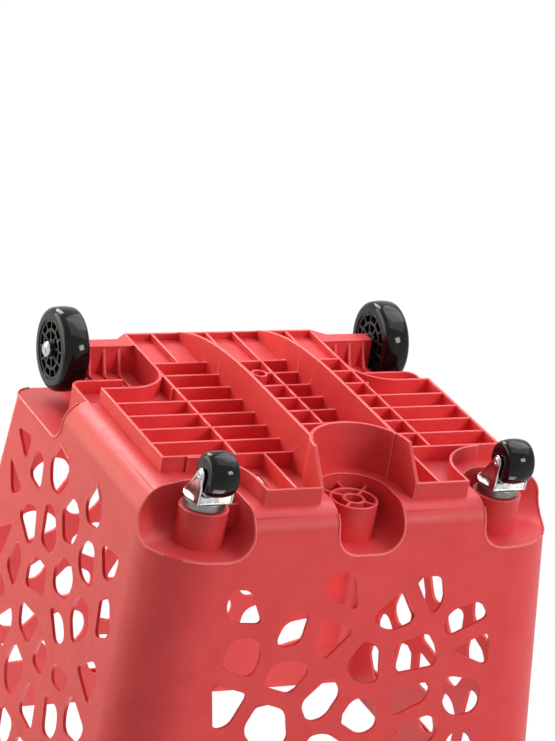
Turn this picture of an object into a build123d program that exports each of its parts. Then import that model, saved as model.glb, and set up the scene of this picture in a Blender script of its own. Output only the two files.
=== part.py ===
"""Rolling shopping basket: a moulded basket on two wheels and two castors, with a pull handle."""
import math
import os
import random

from build123d import *

os.makedirs("parts", exist_ok=True)

# Millimetres. The ground is z = 0, the castors lead toward -Y and the big wheels trail at +Y.

# Basket moulding
FLOOR_Z = 49.0
RIM_Z = 450.0
SHELL_HX = 196.0
SHELL_HY = 180.0
FRONT_CORNER = 58.0
REAR_CORNER = 18.0
FOOT_R = 24.0
REAR_FOOT_R = 14.0
TAPER = 4.5
WALL = 3.0
SEAT = 1.0
ROOT = 2.0
LIP = 9.0
SKIRT_H = 34.0
SKIRT_T = 2.5
SPREAD = math.tan(math.radians(TAPER))
RIM_GROW = (RIM_Z - FLOOR_Z) * SPREAD
RIM_HX = SHELL_HX + RIM_GROW + LIP
RIM_HY = SHELL_HY + RIM_GROW + LIP
OUTSIDE = 60.0

# Pull handle, folded forward along the outside of the rim
ARM_T = 8.0
ARM_H = 18.0
ARM_GAP = 1.5
ARM_BEND = 60.0
GRIP_T = 22.0
GRIP_H = 28.0
GRIP_L = 220.0
GRIP_ROUND = 9.0
PIVOT_R = 4.0
PIVOT_FIT = 0.08
PIVOT_HEAD_R = 7.0
PIVOT_HEAD_T = 2.5
PIVOT_DROP = 15.0
PIVOT_SET = 30.0
PIVOT_BLOCK = LIP + WALL
EYE_R = 11.0
STOP_FIT = 0.5
HANDLE_TRAVEL = 100.0
REST_FRONT = 112.0
LUG = 8.0

# The part's centre line runs half way between the grip and the rear of the rim.
ARM_HX = RIM_HX + ARM_GAP
BAR_REACH = RIM_HY + ARM_GAP + GRIP_T / 2
CY = (BAR_REACH + GRIP_T / 2 - RIM_HY) / 2
BAR_Y = CY - BAR_REACH
PIVOT_Y = CY + SHELL_HY - PIVOT_SET
PIVOT_Z = RIM_Z - PIVOT_DROP

# Under-floor rib grid
GRID = 28.0
RIB = 2.5
RIB_Z = 34.0
ROWS = 8
NARROW_ROWS = 3
PANEL_CELLS = 2.5
NARROW_CELLS = 3.5
WIDE_CELLS = 6.0
SKID_Z = 5.6
SKID_T = 3.0
SKID_X = 41.0
RAMP_L = 175.0
RAMP_SLOPE = 0.45
DECK_Z = 41.0
FRAME_L = 340.0
BACK_INSET = 3.5
BACK_Y = CY + SHELL_HY - BACK_INSET
FIRST_RIB_Y = BACK_Y - PANEL_CELLS * GRID
NARROW_HX = NARROW_CELLS * GRID
WIDE_HX = WIDE_CELLS * GRID
PANEL_RIB_X = PANEL_CELLS * GRID
FIELD_FRONT_Y = FIRST_RIB_Y - (ROWS - 1) * GRID
FRAME_FRONT_Y = BACK_Y - FRAME_L
RING_R = 8.0
RING_T = 2.0
SLOT_X = 81.0
SLOT_W = 6.0
SLOT_L = 26.0

# Big wheels and their carriers
WHEEL_R = 40.0
WHEEL_W = 26.0
TREAD_W = 23.0
SHOULDER = 1.5
HUB_R = 28.0
HUB_W = 24.0
SPOKE = 2.0
DISH = 7.0
DISH_COUNTS = (12, 8)
DISHES = ((19.5, 25.5), (9.5, 16.5))
WHEEL_SET = 30.0
TRACK = 2 * (SHELL_HX - WHEEL_SET)
AXLE_R = 4.0
AXLE_FIT = 0.08
AXLE_SET = 19.5
AXLE_Y = BACK_Y - AXLE_SET
WHEEL_PLAY = 1.0
CAP_R = 7.5
CAP_H = 6.0
CAP_BORE = 3.0
CAP_DOME = 2.5
CARRIER_X = TRACK / 2 - WHEEL_W / 2 - WHEEL_PLAY
CARRIER_HY = 8.0
CARRIER_RISE = 0.5
CARRIER_Z = RIB_Z + CARRIER_RISE
GUSSETS = 3
GUSSET_GAP = 15.0
GUSSET_FIRST = 9.0
GUSSET_FOOT = 10.0
GUSSET_RUN = 60.0
WELL_RUN = 120.0
WELL_Y = BACK_Y - WELL_RUN
WELL_R = 38.0
WELL_ROOF = 62.0
LEDGE_RUN = 70.0
LEDGE_Y = BACK_Y - LEDGE_RUN
LEDGE_SET = 18.0
LEDGE_X = SHELL_HX - LEDGE_SET
LEDGE_INNER_X = 125.0
LEDGE_R = 12.0
ARCH_RUN = 115.0
ARCH_Y = BACK_Y - ARCH_RUN
ARCH_ROOF = 91.0
ARCH_R = 18.0
ARCH_GAP = 2.0
ARCH_X = CARRIER_X - ARCH_GAP

# Castors and their pockets
CASTOR_SET = 51.5
CASTOR_X = SHELL_HX - CASTOR_SET
CASTOR_RUN = 315.0
CASTOR_Y = BACK_Y - CASTOR_RUN
CASTOR_R = 20.5
CASTOR_W = 27.0
TRAIL = 17.0
POCKET_R = 32.0
POCKET_RIM_R = 45.0
POCKET_ROOF = 92.0
POCKET_ROUND = 22.0
POCKET_BEVEL = 12.0
POCKET_TURN = 20.0
BOSS_R = 22.0
BOSS_Z = 58.0
BOSS_SPOKES = 4
BOSS_TURN = 45.0
BOSS_RIBS = ((-CASTOR_X, (0, 90)), (0, (45, 90, 135)), (CASTOR_X, (90, 180)))
SOCKET_R = 8.0
SOCKET_L = 30.0
CUP_R = 18.5
CUP_H = 8.0
CUP_T = 1.5
RACE_R = 15.0
RACE_HOLE_R = 9.0
RACE_PLAY = 0.3
KING_R = 4.0
KING_FIT = 0.08
KING_HEAD_R = 6.5
KING_HEAD_T = 2.0
FORK_R = 20.0
FORK_T = 2.0
FORK_GAP = 1.5
FORK_TOP = BOSS_Z - CUP_H - FORK_GAP
LEG_GAP = 1.0
LEG_END_R = 6.0
LEG_FRONT = 20.0
LEG_REAR = 10.0
LEG_X = CASTOR_W / 2 + LEG_GAP
RIVET_R = 2.5
RIVET_FIT = 0.06
RIVET_HEAD_R = 4.5
RIVET_HEAD_T = 1.5
RIVET_SIDES = 12

# Holes in the walls
HOLE_PITCH = 48.0
HOLE_WEB = 14.0
HOLE_SWING = 0.30
HOLE_STAGGER = 0.22
HOLE_MARGIN = 14.0
HOLE_SIDE = 15.0
HOLE_TOP = RIM_Z - SKIRT_H - HOLE_MARGIN


def shell_outline(grow):
    """Plan of the basket at its rim, its edges moved out by grow from those of the floor."""
    with BuildSketch() as plan:
        with Locations((0, CY)):
            Rectangle(2 * (SHELL_HX + grow), 2 * (SHELL_HY + grow))
        fillet(plan.vertices().group_by(Axis.Y)[0], FRONT_CORNER + grow - RIM_GROW)
        fillet(plan.vertices().group_by(Axis.Y)[-1], REAR_CORNER + grow - RIM_GROW)
    return plan.sketch


def tub_half(grow, bottom, top, end, corner, foot):
    """Tapered solid of the basket, rounded at its front or rear end and cut off between the wheel arches."""
    spread = grow + (bottom - FLOOR_Z) * SPREAD
    width = 2 * (SHELL_HX + spread)
    depth = 2 * (SHELL_HY + spread)
    lean = (top - bottom) * SPREAD
    with BuildPart() as half:
        with Locations((0, CY, bottom)):
            Wedge(width, top - bottom, depth, -lean, -lean, width + lean, depth + lean,
                  rotation=(90, 0, 0), align=(Align.CENTER, Align.MIN, Align.CENTER))
        slanting = half.edges().filter_by(lambda e: abs(e.tangent_at(0).Z) > 0.5)
        fillet(slanting.group_by(Axis.Y)[end], corner + grow)
        fillet(half.edges().group_by(Axis.Z)[0], foot + grow)
        split(bisect_by=Plane.XZ.offset(-(ARCH_Y + LEDGE_Y) / 2), keep=Keep.BOTTOM if end else Keep.TOP)
    return half.part


def tub(grow, bottom, top):
    """Tapered solid of the basket between two levels, with a wide foot in front and a tight one behind."""
    with BuildPart() as body:
        add(tub_half(grow, bottom, top, 0, FRONT_CORNER, FOOT_R))
        add(tub_half(grow, bottom, top, -1, REAR_CORNER, REAR_FOOT_R))
    return body.part


def well_plan(grow):
    """Plan of one wheel well, rounded where its two walls meet."""
    reach = RIM_HX + OUTSIDE
    with BuildSketch() as plan:
        with Locations((reach, WELL_Y - grow)):
            Rectangle(reach - NARROW_HX + grow, reach, align=(Align.MAX, Align.MIN))
        fillet(plan.vertices().group_by(Axis.Y)[0].sort_by(Axis.X)[0], WELL_R + grow)
    return plan.sketch


def well_wall():
    """Plan of the wall between the rib grid and one wheel well."""
    with BuildSketch() as plan:
        add(well_plan(RIB))
        add(well_plan(0), mode=Mode.SUBTRACT)
        with Locations((0, BACK_Y)):
            Rectangle(WIDE_HX, FRAME_L, align=(Align.MIN, Align.MAX), mode=Mode.INTERSECT)
    return plan.sketch


def ledge_wall():
    """Plan of the low wall between one wheel well and the arch outside it."""
    with BuildSketch() as plan:
        for inset, mode in ((0, Mode.ADD), (RIB, Mode.SUBTRACT)):
            with BuildSketch(mode=mode) as loop:
                with Locations((LEDGE_X - inset, LEDGE_Y - inset)):
                    Rectangle(LEDGE_X - LEDGE_INNER_X, LEDGE_Y - WELL_Y + SEAT, align=(Align.MAX, Align.MAX))
                fillet(loop.vertices().group_by(Axis.Y)[-1].sort_by(Axis.X)[-1], LEDGE_R - inset)
    return plan.sketch


def well(grow):
    """Room for one big wheel: the well that its carrier crosses, and the arch open to the outside."""
    reach = RIM_HX + OUTSIDE
    with BuildPart() as room:
        with BuildSketch():
            add(well_plan(grow))
            Rectangle(LEDGE_X + grow, 2 * reach, align=(Align.MIN, Align.CENTER), mode=Mode.INTERSECT)
        extrude(amount=WELL_ROOF + grow)
        with BuildSketch() as plan:
            with Locations((reach, LEDGE_Y - grow)):
                Rectangle(reach - ARCH_X + grow, reach, align=(Align.MAX, Align.MIN))
            with Locations((reach, ARCH_Y - grow)):
                Rectangle(reach - LEDGE_X + grow, reach, align=(Align.MAX, Align.MIN))
            fillet(plan.vertices().sort_by_distance((LEDGE_X - grow, LEDGE_Y - grow))[0], LEDGE_R - grow)
        extrude(amount=ARCH_ROOF + grow)
        fillet(room.edges().group_by(Axis.Z)[-1].sort_by(Axis.Y)[0], ARCH_R + grow)
    return room.part


def pocket(x, grow, turns, soften, size):
    """Room round one boss, open outward between the given directions, with a softened roof."""
    with BuildPart() as room:
        with BuildSketch():
            with Locations((x, CASTOR_Y)):
                Circle(POCKET_R + grow)
                for turn in turns:
                    with PolarLocations(RIM_HX, 1, start_angle=turn):
                        Circle(POCKET_R + grow)
            make_hull()
        extrude(amount=POCKET_ROOF + grow)
        soften(room.edges().group_by(Axis.Z)[-1], size)
    return room.part


def rooms(grow, soften, size):
    """Every pocket and well under the basket."""
    corner = pocket(CASTOR_X, grow, (-90, -POCKET_TURN), soften, size)
    middle = pocket(0, grow, (-90,), soften, size)
    arch = well(grow)
    return [corner, corner.mirror(Plane.YZ), middle, arch, arch.mirror(Plane.YZ)]


def clip(cell, px, py, nx, ny):
    """Keep the part of a convex polygon that lies behind the line through p with normal n."""
    kept = []
    for (ax, ay), (bx, by) in zip(cell, cell[1:] + cell[:1]):
        da = (ax - px) * nx + (ay - py) * ny
        db = (bx - px) * nx + (by - py) * ny
        if da <= 0:
            kept.append((ax, ay))
        if da * db < 0:
            t = da / (da - db)
            kept.append((ax + t * (bx - ax), ay + t * (by - ay)))
    return kept


def hole_cells(seed, u0, u1, v0, v1):
    """Irregular many-sided holes that fill a field, with one web between neighbours."""
    rng = random.Random(seed)
    nu = max(2, round((u1 - u0) / HOLE_PITCH))
    nv = max(2, round((v1 - v0) / HOLE_PITCH))
    du = (u1 - u0) / nu
    dv = (v1 - v0) / nv
    sites = []
    for i in range(-1, nu + 1):
        for j in range(-1, nv + 1):
            su = rng.uniform(-HOLE_SWING, HOLE_SWING)
            sv = rng.uniform(-HOLE_SWING, HOLE_SWING) + HOLE_STAGGER * (-1) ** i
            inside = 0 <= i < nu and 0 <= j < nv
            sites.append((u0 + (i + 0.5 + su) * du, v0 + (j + 0.5 + sv) * dv, inside))
    cells = []
    for u, v, inside in sites:
        if not inside:
            continue
        cell = [(u - du, v - dv), (u + du, v - dv), (u + du, v + dv), (u - du, v + dv)]
        for ou, ov, _ in sites:
            gap = math.hypot(ou - u, ov - v)
            if 0 < gap < 3 * HOLE_PITCH:
                nx = (ou - u) / gap
                ny = (ov - v) / gap
                reach = (gap - HOLE_WEB) / 2
                cell = clip(cell, u + nx * reach, v + ny * reach, nx, ny)
        cells.append([p for k, p in enumerate(cell) if math.dist(p, cell[k - 1]) > HOLE_SIDE])
    return cells


def wall_holes(plane, seed, u0, u1, v0, v1):
    """Cutters for one wall, drawn on an upright plane outside it and driven inward."""
    faces = [Face(Wire.make_polygon([plane.from_local_coords((u, v, 0)) for u, v in cell]))
             for cell in hole_cells(seed, u0, u1, v0, v1)]
    return [Solid.extrude(face, plane.z_dir * -(RIM_GROW + LIP + OUTSIDE)) for face in faces]


# The hollow inside keeps one wall thickness from every pocket and well.
with BuildPart() as hollow:
    add(tub(-WALL, FLOOR_Z + WALL, RIM_Z + SEAT))
    add(rooms(WALL, chamfer, POCKET_BEVEL), mode=Mode.SUBTRACT)
    with Locations((0, (FIRST_RIB_Y + BACK_Y) / 2, DECK_Z + WALL)):
        Box(2 * (NARROW_HX - WALL), BACK_Y - FIRST_RIB_Y - 2 * WALL, FLOOR_Z - DECK_Z + SEAT,
            align=(Align.CENTER, Align.CENTER, Align.MIN))

# Rim turned over outward, with the blocks that carry and stop the handle
with BuildPart() as rim:
    with BuildSketch(Plane.XY.offset(RIM_Z - SKIRT_H)):
        add(shell_outline(RIM_GROW + LIP))
        add(shell_outline(RIM_GROW + LIP - SKIRT_T), mode=Mode.SUBTRACT)
    extrude(amount=SKIRT_H)
    with BuildSketch(Plane.XY.offset(RIM_Z - WALL)):
        add(shell_outline(RIM_GROW + LIP - SEAT))
        add(shell_outline(RIM_GROW - SEAT), mode=Mode.SUBTRACT)
    extrude(amount=WALL)
    for side in (-1, 1):
        with Locations((side * RIM_HX, PIVOT_Y, RIM_Z)):
            Box(PIVOT_BLOCK, 2 * EYE_R, 2 * PIVOT_DROP,
                align=(Align.MAX if side > 0 else Align.MIN, Align.CENTER, Align.MAX))
        outer = RIM_HX + ARM_GAP + ARM_T
        inner = RIM_HX - SKIRT_T
        middle = side * (outer + inner) / 2
        with Locations((middle, CY - REST_FRONT, PIVOT_Z - ARM_H / 2 - STOP_FIT)):
            Box(outer - inner, LUG, LUG, align=(Align.CENTER, Align.CENTER, Align.MAX))
        lean = math.radians(HANDLE_TRAVEL - 90)
        back = ARM_H / 2 / math.cos(lean) + PIVOT_DROP * math.tan(lean) + STOP_FIT
        with Locations((middle, PIVOT_Y + back, RIM_Z)):
            Box(outer - inner, LUG, PIVOT_DROP, align=(Align.CENTER, Align.MIN, Align.MAX))

# Rib grid under the floor, its edge walls and the walls round the castor pockets
with BuildPart() as grid:
    with BuildSketch(Plane.XY.offset(RIB_Z)):
        for k in range(ROWS):
            with Locations((0, FIRST_RIB_Y - k * GRID)):
                Rectangle(2 * (NARROW_HX + WALL if k < NARROW_ROWS else WIDE_HX), RIB)
        for side in (-1, 1):
            for x in (GRID / 2, NARROW_HX - RIB / 2):
                with Locations((side * x, FIELD_FRONT_Y)):
                    Rectangle(RIB, BACK_Y - FIELD_FRONT_Y, align=(Align.CENTER, Align.MIN))
            with Locations((side * (WIDE_HX - RIB / 2), FIELD_FRONT_Y)):
                Rectangle(RIB, WELL_Y - FIELD_FRONT_Y, align=(Align.CENTER, Align.MIN))
            with Locations((side * PANEL_RIB_X, FIRST_RIB_Y)):
                Rectangle(RIB, BACK_Y - FIRST_RIB_Y, align=(Align.CENTER, Align.MIN))
            with Locations((side * PANEL_RIB_X, FRAME_FRONT_Y)):
                Rectangle(RIB, FIELD_FRONT_Y - FRAME_FRONT_Y, align=(Align.CENTER, Align.MIN))
            with Locations((side * CASTOR_X, CASTOR_Y)):
                Circle(POCKET_RIM_R + RIB)
            add(well_wall() if side > 0 else well_wall().mirror(Plane.YZ))
            with Locations((side * (CASTOR_X - POCKET_RIM_R), FRAME_FRONT_Y)):
                Rectangle(RIB, CASTOR_Y - FRAME_FRONT_Y,
                          align=(Align.MAX if side > 0 else Align.MIN, Align.MIN))
        with Locations((0, BACK_Y)):
            Rectangle(2 * NARROW_HX, RIB, align=(Align.CENTER, Align.MAX))
        with Locations((0, FRAME_FRONT_Y)):
            Rectangle(2 * (CASTOR_X - POCKET_RIM_R), RIB, align=(Align.CENTER, Align.MIN))
        with Locations((0, CASTOR_Y)):
            Circle(POCKET_RIM_R + SKID_T)
            Rectangle(2 * (POCKET_RIM_R + SKID_T), CASTOR_Y - FRAME_FRONT_Y,
                      align=(Align.CENTER, Align.MAX))
        with Locations((0, FIRST_RIB_Y - GRID)):
            Circle(RING_R)
            Circle(RING_R - RING_T, mode=Mode.SUBTRACT)
        add(well_plan(0), mode=Mode.SUBTRACT)
        add(well_plan(0).mirror(Plane.YZ), mode=Mode.SUBTRACT)
        for x in (-CASTOR_X, 0, CASTOR_X):
            with Locations((x, CASTOR_Y)):
                Circle(POCKET_RIM_R, mode=Mode.SUBTRACT)
                Rectangle(2 * POCKET_RIM_R, FRAME_L, align=(Align.CENTER, Align.MAX),
                          mode=Mode.SUBTRACT)
        for side in (-1, 1):
            with Locations((side * CASTOR_X, FIELD_FRONT_Y - RIB / 2)):
                Rectangle(FRAME_L, FRAME_L, align=(Align.MIN if side > 0 else Align.MAX, Align.MAX),
                          mode=Mode.SUBTRACT)
    extrude(amount=FLOOR_Z + ROOT - RIB_Z)

    # Back edge carried up to the rounded foot of the rear wall, and the shallow rear panel
    with Locations((0, BACK_Y, RIB_Z)):
        Box(2 * NARROW_HX, RIB, FLOOR_Z + REAR_FOOT_R / 2 - RIB_Z - SEAT,
            align=(Align.CENTER, Align.MAX, Align.MIN))
    with Locations((0, FIRST_RIB_Y, DECK_Z)):
        Box(2 * NARROW_HX, BACK_Y - FIRST_RIB_Y, WALL, align=(Align.CENTER, Align.MIN, Align.MIN))
    with Locations((0, FIRST_RIB_Y, DECK_Z)):
        Box(2 * NARROW_HX, WALL, FLOOR_Z - DECK_Z + SEAT,
            align=(Align.CENTER, Align.MIN, Align.MIN))
    for side in (-1, 1):
        with Locations((side * NARROW_HX, FIRST_RIB_Y, DECK_Z)):
            Box(WALL, BACK_Y - FIRST_RIB_Y, FLOOR_Z - DECK_Z + SEAT,
                align=(Align.MAX if side > 0 else Align.MIN, Align.MIN, Align.MIN))

# Two skid fins, each a long ramp from the back edge to a level runner, and the wall that joins them
with BuildPart() as skids:
    fin_front = CASTOR_Y + math.sqrt(POCKET_RIM_R ** 2 - SKID_X ** 2)
    for side in (-1, 1):
        with BuildSketch(Plane.YZ.offset(side * SKID_X)):
            with BuildLine():
                ramp = Spline((BACK_Y, RIB_Z), (BACK_Y - RAMP_L, SKID_Z),
                              tangents=((-1.0, -RAMP_SLOPE), (-1.0, 0.0)))
                Polyline(ramp @ 1, (fin_front, SKID_Z), (fin_front, FLOOR_Z + ROOT),
                         (BACK_Y, FLOOR_Z + ROOT), ramp @ 0)
            make_face()
        extrude(amount=SKID_T / 2, both=True)
        with BuildSketch(Plane.YZ.offset(side * POCKET_RIM_R)):
            with BuildLine():
                Polyline((CASTOR_Y, SKID_Z), (FRAME_FRONT_Y, RIB_Z), (FRAME_FRONT_Y, FLOOR_Z + ROOT),
                         (CASTOR_Y, FLOOR_Z + ROOT), close=True)
            make_face()
        extrude(amount=side * SKID_T)
    with BuildSketch(Plane.XY.offset(SKID_Z)):
        with Locations((0, CASTOR_Y)):
            Circle(POCKET_RIM_R + SKID_T)
            Circle(POCKET_RIM_R, mode=Mode.SUBTRACT)
            Rectangle(FRAME_L, FRAME_L, align=(Align.CENTER, Align.MAX), mode=Mode.SUBTRACT)
    extrude(amount=FLOOR_Z + ROOT - SKID_Z)

# Axle carriers with their gussets, and the three castor bosses
with BuildPart() as carriers:
    for side in (-1, 1):
        inner = side * (NARROW_HX - SEAT)
        front = AXLE_Y - CARRIER_HY
        run = BACK_Y - AXLE_Y - CARRIER_HY
        with BuildSketch(Plane.XY.offset(CARRIER_Z)):
            with BuildLine():
                Polyline((inner, BACK_Y), (side * NARROW_HX, BACK_Y),
                         (side * (NARROW_HX + run), AXLE_Y + CARRIER_HY),
                         (side * CARRIER_X, AXLE_Y + CARRIER_HY), (side * CARRIER_X, front),
                         (inner, front), close=True)
            make_face()
        extrude(amount=WELL_ROOF + SEAT - CARRIER_Z)
        for k in range(GUSSETS):
            with BuildSketch(Plane.YZ.offset(side * (CARRIER_X - GUSSET_FIRST - k * GUSSET_GAP))):
                with BuildLine():
                    Polyline((front + SEAT, CARRIER_Z + SEAT), (front - GUSSET_FOOT, WELL_ROOF - RIB),
                             (front - GUSSET_RUN, WELL_ROOF - RIB),
                             (front - GUSSET_RUN, WELL_ROOF + SEAT),
                             (front + SEAT, WELL_ROOF + SEAT), close=True)
                make_face()
            extrude(amount=RIB / 2, both=True)
    with BuildSketch(Plane.XY.offset(FLOOR_Z)):
        add(ledge_wall())
        add(ledge_wall().mirror(Plane.YZ))
    extrude(amount=WELL_ROOF + SEAT - FLOOR_Z)
    for x in (-CASTOR_X, 0, CASTOR_X):
        with BuildSketch(Plane.XY.offset(BOSS_Z)):
            with Locations((x, CASTOR_Y)):
                Circle(BOSS_R)
                if x == 0:
                    Circle(BOSS_R - RIB, mode=Mode.SUBTRACT)
                    Circle(SOCKET_R + RIB)
                    with PolarLocations(0, BOSS_SPOKES, start_angle=BOSS_TURN):
                        Rectangle(BOSS_R - SEAT, RIB, align=(Align.MIN, Align.CENTER))
                Circle(SOCKET_R, mode=Mode.SUBTRACT)
        extrude(amount=POCKET_ROOF + SEAT - BOSS_Z)
    with BuildSketch(Plane.XY.offset(BOSS_Z)):
        for x, turns in BOSS_RIBS:
            with Locations((x, CASTOR_Y)):
                for turn in turns:
                    with PolarLocations(BOSS_R - SEAT, 1, start_angle=turn):
                        Rectangle(POCKET_R - BOSS_R + 2 * SEAT, RIB, align=(Align.MIN, Align.CENTER))
    extrude(amount=POCKET_ROOF - POCKET_BEVEL - BOSS_Z)

# Bores for the axle pins and handle pins, and the two drain slots
with BuildPart() as bores:
    for side in (-1, 1):
        with Locations((side * (CARRIER_X + NARROW_HX) / 2 + side * SEAT, AXLE_Y, WHEEL_R)):
            Cylinder(AXLE_R, CARRIER_X - NARROW_HX, rotation=(0, 90, 0))
        with Locations((side * RIM_HX, PIVOT_Y, PIVOT_Z)):
            Cylinder(PIVOT_R, 2 * LIP, rotation=(0, 90, 0))
        with Locations((side * SLOT_X, (FIELD_FRONT_Y + CASTOR_Y) / 2, FLOOR_Z)):
            Box(SLOT_W, SLOT_L, 4 * WALL)

# Hole fields on the four walls, clear of the rounded corners
side_front = CY - SHELL_HY + FRONT_CORNER
side_rear = CY + SHELL_HY - REAR_CORNER
front_hx = SHELL_HX - FRONT_CORNER
rear_hx = SHELL_HX - REAR_CORNER
front_plane = Plane((0, CY - RIM_HY - OUTSIDE / 2, 0), x_dir=(1, 0, 0), z_dir=(0, -1, 0))
rear_plane = Plane((0, CY + RIM_HY + OUTSIDE / 2, 0), x_dir=(-1, 0, 0), z_dir=(0, 1, 0))
left_plane = Plane((RIM_HX + OUTSIDE / 2, 0, 0), x_dir=(0, 1, 0), z_dir=(1, 0, 0))
right_plane = Plane((-RIM_HX - OUTSIDE / 2, 0, 0), x_dir=(0, -1, 0), z_dir=(-1, 0, 0))
holes = wall_holes(front_plane, 11, -front_hx, front_hx, POCKET_ROOF + 2 * HOLE_MARGIN, HOLE_TOP)
holes += wall_holes(rear_plane, 23, -rear_hx, rear_hx, ARCH_ROOF + HOLE_MARGIN, HOLE_TOP)
holes += wall_holes(left_plane, 37, side_front, side_rear, ARCH_ROOF + HOLE_MARGIN, HOLE_TOP)
holes += wall_holes(right_plane, 51, -side_rear, -side_front, ARCH_ROOF + HOLE_MARGIN, HOLE_TOP)

with BuildPart() as basket:
    add(tub(0, FLOOR_Z, RIM_Z))
    add(hollow.part, mode=Mode.SUBTRACT)
    add(rooms(0, fillet, POCKET_ROUND), mode=Mode.SUBTRACT)
    add([rim.part, grid.part, skids.part, carriers.part])
    add(bores.part, mode=Mode.SUBTRACT)
    add(holes, mode=Mode.SUBTRACT)


def wheel_plane(side):
    """Middle plane of a big wheel, facing outward."""
    return Plane((side * TRACK / 2, AXLE_Y, WHEEL_R), x_dir=(0, 1, 0), z_dir=(side, 0, 0))


def hub(side):
    """Hub with a running bore and two rings of dished pockets on each face."""
    place = wheel_plane(side)
    with BuildPart() as body:
        with BuildSketch(place):
            Circle(HUB_R)
            Circle(AXLE_R + AXLE_FIT, mode=Mode.SUBTRACT)
        extrude(amount=HUB_W / 2, both=True)
        for face in (-1, 1):
            with BuildSketch(place.offset(face * HUB_W / 2)):
                for count, (r0, r1) in zip(DISH_COUNTS, DISHES):
                    h0 = r0 * math.sin(math.pi / count) - SPOKE / 2
                    h1 = r1 * math.sin(math.pi / count) - SPOKE / 2
                    with PolarLocations(0, count):
                        Polygon((r0, -h0), (r1, -h1), (r1, h1), (r0, h0), align=None)
            extrude(amount=-face * DISH, mode=Mode.SUBTRACT)
    return body.part


def tyre(side):
    """Tyre with a flat tread and sloping shoulders."""
    place = wheel_plane(side)
    with BuildPart() as body:
        with BuildSketch(Plane(place.origin, x_dir=place.x_dir, z_dir=(0, 0, -side))):
            with BuildLine():
                Polyline((HUB_R, -WHEEL_W / 2), (WHEEL_R - SHOULDER, -WHEEL_W / 2),
                         (WHEEL_R, -TREAD_W / 2), (WHEEL_R, TREAD_W / 2),
                         (WHEEL_R - SHOULDER, WHEEL_W / 2), (HUB_R, WHEEL_W / 2), close=True)
            make_face()
        revolve(axis=Axis(place.origin, place.z_dir))
    return body.part


def axle_pin(side):
    """Steel pin pressed into the carrier and into the cap."""
    inner = NARROW_HX + SEAT
    outer = TRACK / 2 + HUB_W / 2 + WHEEL_PLAY + CAP_BORE
    with BuildPart() as body:
        with BuildSketch(Plane.YZ.offset(side * inner)):
            with Locations((AXLE_Y, WHEEL_R)):
                Circle(AXLE_R)
        extrude(amount=side * (outer - inner))
    return body.part


def fork(side):
    """Pressed castor fork: a plate with a leg folded down on each side."""
    x = side * CASTOR_X
    with BuildPart() as body:
        with BuildSketch(Plane.XY.offset(FORK_TOP - FORK_T)):
            with Locations((x, CASTOR_Y)):
                Circle(FORK_R)
                Rectangle(2 * (LEG_X + FORK_T), LEG_FRONT, align=(Align.CENTER, Align.MAX))
                Circle(KING_R + KING_FIT, mode=Mode.SUBTRACT)
        extrude(amount=FORK_T)
        for leg in (-1, 1):
            with BuildSketch(Plane.YZ.offset(x + leg * LEG_X)):
                with Locations((CASTOR_Y - TRAIL, CASTOR_R)):
                    Circle(LEG_END_R)
                with Locations((CASTOR_Y - LEG_FRONT, FORK_TOP)):
                    Rectangle(LEG_FRONT + LEG_REAR, FORK_T, align=(Align.MIN, Align.MAX))
                make_hull()
                with Locations((CASTOR_Y - TRAIL, CASTOR_R)):
                    Circle(RIVET_R, mode=Mode.SUBTRACT)
            extrude(amount=leg * FORK_T)
    return body.part


def castor_axle(side):
    """Rivet through both legs, closed to a head at each end."""
    half = LEG_X + FORK_T
    centre = (side * CASTOR_X, CASTOR_Y - TRAIL, CASTOR_R)
    middle = Plane(centre, x_dir=(0, 1, 0), z_dir=(1, 0, 0))
    with BuildPart() as body:
        with BuildSketch(middle):
            Circle(RIVET_R)
        extrude(amount=half, both=True)
        for end in (-1, 1):
            with BuildSketch(middle.offset(end * half)):
                RegularPolygon(RIVET_HEAD_R, RIVET_SIDES)
            extrude(amount=end * RIVET_HEAD_T)
    return body.part


def castor_wheel(side):
    """Solid castor wheel with a running bore."""
    centre = (side * CASTOR_X, CASTOR_Y - TRAIL, CASTOR_R)
    with BuildPart() as body:
        with BuildSketch(Plane(centre, x_dir=(0, 1, 0), z_dir=(1, 0, 0))):
            Circle(CASTOR_R)
            Circle(RIVET_R + RIVET_FIT, mode=Mode.SUBTRACT)
        extrude(amount=CASTOR_W / 2, both=True)
    return body.part


def save(part, name):
    """Name a finished piece and write it."""
    part.label = name
    export_step(part, f"parts/{name}.step")


# Domed push-on caps that keep the big wheels on their pins
with BuildPart() as axle_caps:
    for side in (-1, 1):
        face = TRACK / 2 + HUB_W / 2 + WHEEL_PLAY
        with BuildSketch(Plane((side * face, AXLE_Y, WHEEL_R), x_dir=(0, 1, 0), z_dir=(side, 0, 0))):
            Circle(CAP_R)
        extrude(amount=CAP_H)
        chamfer(axle_caps.edges().filter_by(GeomType.CIRCLE).sort_by(Axis.X)[-1 if side > 0 else 0], CAP_DOME)
        with BuildSketch(Plane((side * face, AXLE_Y, WHEEL_R), x_dir=(0, 1, 0), z_dir=(side, 0, 0))):
            Circle(AXLE_R)
        extrude(amount=CAP_BORE, mode=Mode.SUBTRACT)

# Castor stems pressed into the sockets, each with a kingpin and a closed head under the fork
with BuildPart() as castor_stems:
    for side in (-1, 1):
        with Locations((side * CASTOR_X, CASTOR_Y)):
            head_top = FORK_TOP - FORK_T - RACE_PLAY
            with Locations((0, 0, BOSS_Z)):
                Cylinder(SOCKET_R, SOCKET_L, align=(Align.CENTER, Align.CENTER, Align.MIN))
                Cylinder(KING_R, BOSS_Z - head_top, align=(Align.CENTER, Align.CENTER, Align.MAX))
            with Locations((0, 0, head_top)):
                Cylinder(KING_HEAD_R, KING_HEAD_T, align=(Align.CENTER, Align.CENTER, Align.MAX))

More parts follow.
